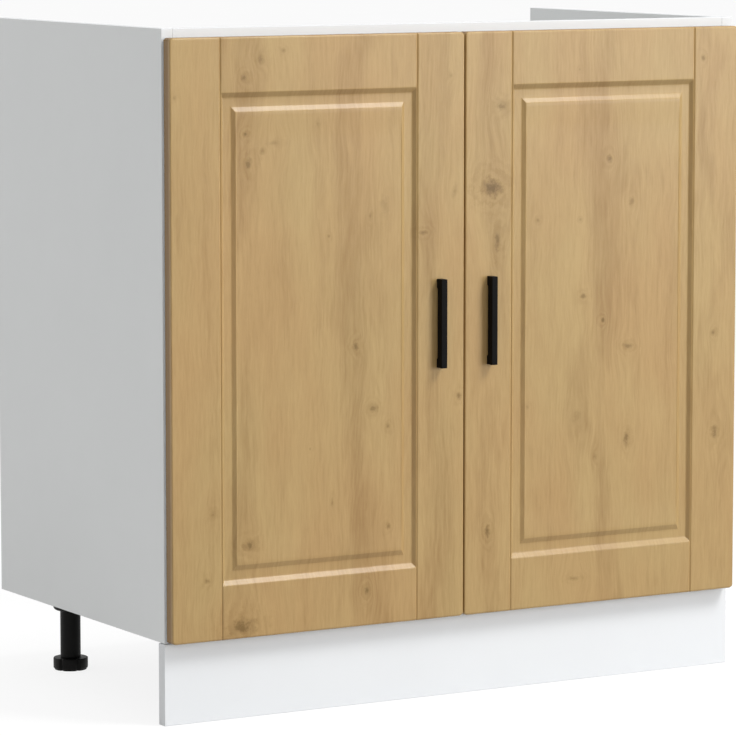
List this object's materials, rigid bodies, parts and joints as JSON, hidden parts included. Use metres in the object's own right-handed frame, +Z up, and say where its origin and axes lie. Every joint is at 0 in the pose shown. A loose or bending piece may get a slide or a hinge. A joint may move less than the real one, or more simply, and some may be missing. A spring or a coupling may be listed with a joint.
{
  "type": "sink base cabinet",
  "caption": "White carcass sink base cabinet, open at the top and back, with routed oak-look doors on concealed hinges, black bar handles, clip-on plinth and screw feet.",
  "frame": {"origin": "bottom centre of the bounding box, on the floor, midway between the handles' fronts and the rear edges of the side panels", "axes": "+X to the right seen from the front, +Y to the back, +Z up"},
  "size_m": [0.8, 0.472, 0.815],
  "materials": {
    "white_board": "white melamine-faced chipboard, satin, with matching edge band",
    "oak_foil": "matt knotty oak foil wrapped over a routed fibreboard door",
    "black_metal": "satin black powder coat",
    "black_plastic": "moulded black plastic",
    "nickel_plated_steel": "bright nickel plate",
    "zinc_plated_steel": "zinc plate",
    "zinc_alloy": "die-cast zinc, dull",
    "beech": "plain fluted beech"
  },
  "bodies": {
    "carcass": {"side_panel_left": "white_board", "hinge_arm_left_lower": "nickel_plated_steel", "hinge_plate_left_lower": "nickel_plated_steel", "hinge_arm_left_upper": "nickel_plated_steel", "hinge_plate_left_upper": "nickel_plated_steel", "cam_lock_bottom_front_left": "zinc_alloy", "cam_bolt_bottom_front_left": "zinc_plated_steel", "cam_lock_bottom_rear_left": "zinc_alloy", "cam_bolt_bottom_rear_left": "zinc_plated_steel", "cam_lock_front_rail_left": "zinc_alloy", "cam_bolt_front_rail_left": "zinc_plated_steel", "cam_lock_rear_rail_left": "zinc_alloy", "cam_bolt_rear_rail_left": "zinc_plated_steel", "dowel_front_rail_left": "beech", "dowel_rear_rail_left": "beech", "side_panel_right": "white_board", "hinge_arm_right_lower": "nickel_plated_steel", "hinge_plate_right_lower": "nickel_plated_steel", "hinge_arm_right_upper": "nickel_plated_steel", "hinge_plate_right_upper": "nickel_plated_steel", "cam_lock_bottom_front_right": "zinc_alloy", "cam_bolt_bottom_front_right": "zinc_plated_steel", "cam_lock_bottom_rear_right": "zinc_alloy", "cam_bolt_bottom_rear_right": "zinc_plated_steel", "cam_lock_front_rail_right": "zinc_alloy", "cam_bolt_front_rail_right": "zinc_plated_steel", "cam_lock_rear_rail_right": "zinc_alloy", "cam_bolt_rear_rail_right": "zinc_plated_steel", "dowel_front_rail_right": "beech", "dowel_rear_rail_right": "beech", "bottom_panel": "white_board", "front_rail": "white_board", "rear_rail": "white_board", "leg_housing_front_left": "black_plastic", "leg_housing_front_right": "black_plastic", "leg_housing_rear_left": "black_plastic", "leg_housing_rear_right": "black_plastic"},
    "left_door": {"door_left": "oak_foil", "handle_left": "black_metal", "handle_screw_left_lower": "zinc_plated_steel", "hinge_cup_left_lower": "nickel_plated_steel", "handle_screw_left_upper": "zinc_plated_steel", "hinge_cup_left_upper": "nickel_plated_steel"},
    "left_hinge_links": {"hinge_link_left_lower": "nickel_plated_steel", "hinge_link_left_upper": "nickel_plated_steel"},
    "right_door": {"door_right": "oak_foil", "handle_right": "black_metal", "handle_screw_right_lower": "zinc_plated_steel", "hinge_cup_right_lower": "nickel_plated_steel", "handle_screw_right_upper": "zinc_plated_steel", "hinge_cup_right_upper": "nickel_plated_steel"},
    "right_hinge_links": {"hinge_link_right_lower": "nickel_plated_steel", "hinge_link_right_upper": "nickel_plated_steel"},
    "plinth": {"plinth": "white_board", "plinth_clip_left": "black_plastic", "plinth_clip_right": "black_plastic"},
    "front_left_foot": {"screw_foot_front_left": "black_plastic"},
    "front_right_foot": {"screw_foot_front_right": "black_plastic"},
    "rear_left_foot": {"screw_foot_rear_left": "black_plastic"},
    "rear_right_foot": {"screw_foot_rear_right": "black_plastic"}
  },
  "joints": [
    {"name": "left_door_swing", "type": "hinge", "parent": "carcass", "child": "left_door", "pos_m": [-0.393, -0.218, 0.4515], "axis": [0, 0, -1], "range_deg": [0, 95]},
    {"name": "left_hinge_link_fold", "type": "hinge", "parent": "left_door", "child": "left_hinge_links", "pos_m": [-0.369, -0.2125, 0.4515], "axis": [0, 0, 1], "range_deg": [0, 68]},
    {"name": "right_door_swing", "type": "hinge", "parent": "carcass", "child": "right_door", "pos_m": [0.393, -0.218, 0.4515], "axis": [0, 0, 1], "range_deg": [0, 95]},
    {"name": "right_hinge_link_fold", "type": "hinge", "parent": "right_door", "child": "right_hinge_links", "pos_m": [0.369, -0.2125, 0.4515], "axis": [0, 0, -1], "range_deg": [0, 68]},
    {"name": "plinth_pull_off", "type": "slide", "parent": "carcass", "child": "plinth", "axis": [0, -1, 0], "range_m": [0, 0.08]},
    {"name": "front_left_foot_height", "type": "slide", "parent": "carcass", "child": "front_left_foot", "axis": [0, 0, -1], "range_m": [0, 0.02]},
    {"name": "front_right_foot_height", "type": "slide", "parent": "carcass", "child": "front_right_foot", "axis": [0, 0, -1], "range_m": [0, 0.02]},
    {"name": "rear_left_foot_height", "type": "slide", "parent": "carcass", "child": "rear_left_foot", "axis": [0, 0, -1], "range_m": [0, 0.02]},
    {"name": "rear_right_foot_height", "type": "slide", "parent": "carcass", "child": "rear_right_foot", "axis": [0, 0, -1], "range_m": [0, 0.02]}
  ],
  "couplings": [
    {"joint": "left_hinge_link_fold", "follows": "left_door_swing", "ratio": 0.711},
    {"joint": "right_hinge_link_fold", "follows": "right_door_swing", "ratio": 0.711}
  ]
}
